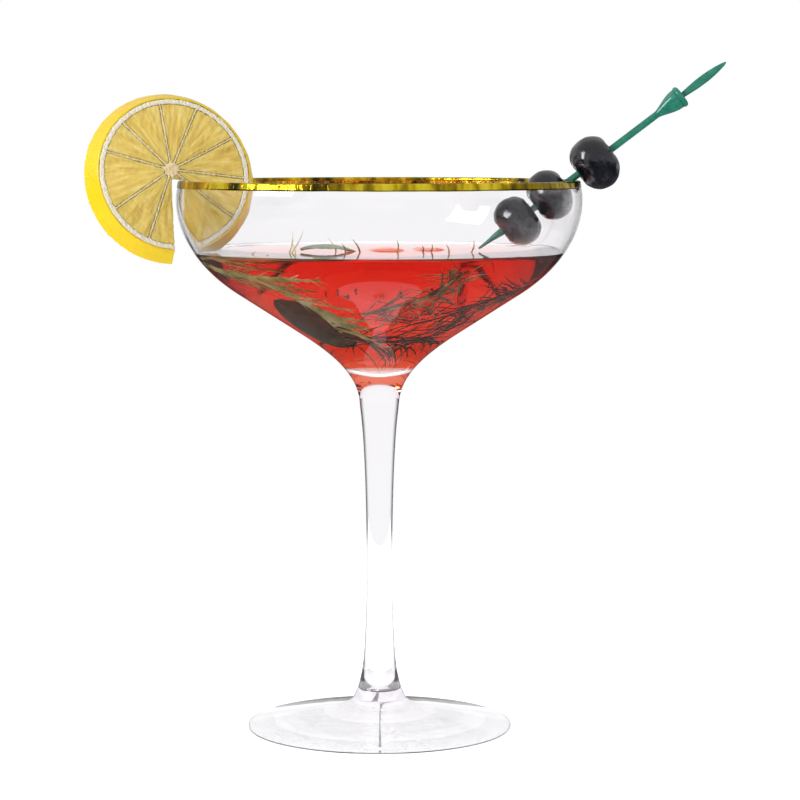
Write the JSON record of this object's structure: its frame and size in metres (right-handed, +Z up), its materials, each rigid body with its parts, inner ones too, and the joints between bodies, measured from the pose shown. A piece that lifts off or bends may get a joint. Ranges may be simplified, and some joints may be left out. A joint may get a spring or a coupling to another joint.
{
  "type": "cocktail glass",
  "caption": "Stemmed cocktail glass with a gold lip, holding a red drink with ice and herbs, a lemon wheel on the rim and a berry pick.",
  "frame": {"origin": "centre of the foot's underside", "axes": "+Z up along the stem; +X from the lemon wheel towards the pick; the wheel's cut face looks to -Y"},
  "size_m": [0.1903, 0.1212, 0.201],
  "materials": {
    "glass": "clear polished",
    "gold": "fired bright gold",
    "drink": "clear red liquid",
    "ice": "clear wet ice",
    "sage": "soft leaf",
    "dill": "soft frond",
    "rosemary": "waxy needles",
    "lemon_rind": "pitted waxy skin",
    "lemon_pith": "spongy white",
    "lemon_pulp": "wet translucent",
    "pick": "moulded, glossy",
    "blueberry": "wet waxy skin"
  },
  "bodies": {
    "glass": {"bowl": "glass", "gold_rim": "gold", "stem": "glass", "foot": "glass", "drink": "drink", "sage_leaf_floating": "sage", "sage_leaf_sunken": "sage", "dill_sprig": "dill", "rosemary_sprig_1": "rosemary", "rosemary_sprig_2": "rosemary", "rosemary_sprig_3": "rosemary"},
    "lemon_wheel": {"lemon_rind": "lemon_rind", "lemon_pith": "lemon_pith", "lemon_membranes": "lemon_pith", "lemon_segment_01": "lemon_pulp", "lemon_segment_02": "lemon_pulp", "lemon_segment_03": "lemon_pulp", "lemon_segment_04": "lemon_pulp", "lemon_segment_05": "lemon_pulp", "lemon_segment_06": "lemon_pulp", "lemon_segment_07": "lemon_pulp", "lemon_segment_08": "lemon_pulp", "lemon_segment_09": "lemon_pulp", "lemon_segment_10": "lemon_pulp"},
    "pick": {"cocktail_pick": "pick"},
    "berry_1": {"blueberry_1": "blueberry"},
    "berry_2": {"blueberry_2": "blueberry"},
    "berry_3": {"blueberry_3": "blueberry"},
    "ice_1": {"ice_block_1": "ice"},
    "ice_2": {"ice_block_2": "ice"}
  },
  "joints": [
    {"name": "lemon_lift", "type": "slide", "parent": "glass", "child": "lemon_wheel", "axis": [0, 0, 1], "range_m": [0, 0.04]},
    {"name": "pick_lift", "type": "slide", "parent": "glass", "child": "pick", "axis": [0, 0, 1], "range_m": [0, 0.06]},
    {"name": "ice_1_lift", "type": "slide", "parent": "glass", "child": "ice_1", "axis": [0, 0, 1], "range_m": [0, 0.04]},
    {"name": "ice_2_lift", "type": "slide", "parent": "glass", "child": "ice_2", "axis": [0, 0, 1], "range_m": [0, 0.04]},
    {"name": "berry_1_turn", "type": "hinge", "parent": "pick", "child": "berry_1", "pos_m": [0.0412, 0, 0.15346], "axis": [0.7965, 0, 0.6046], "continuous": true},
    {"name": "berry_2_turn", "type": "hinge", "parent": "pick", "child": "berry_2", "pos_m": [0.05115, 0, 0.16101], "axis": [0.7965, 0, 0.6046], "continuous": true},
    {"name": "berry_3_turn", "type": "hinge", "parent": "pick", "child": "berry_3", "pos_m": [0.06406, 0, 0.17081], "axis": [0.7965, 0, 0.6046], "continuous": true}
  ]
}
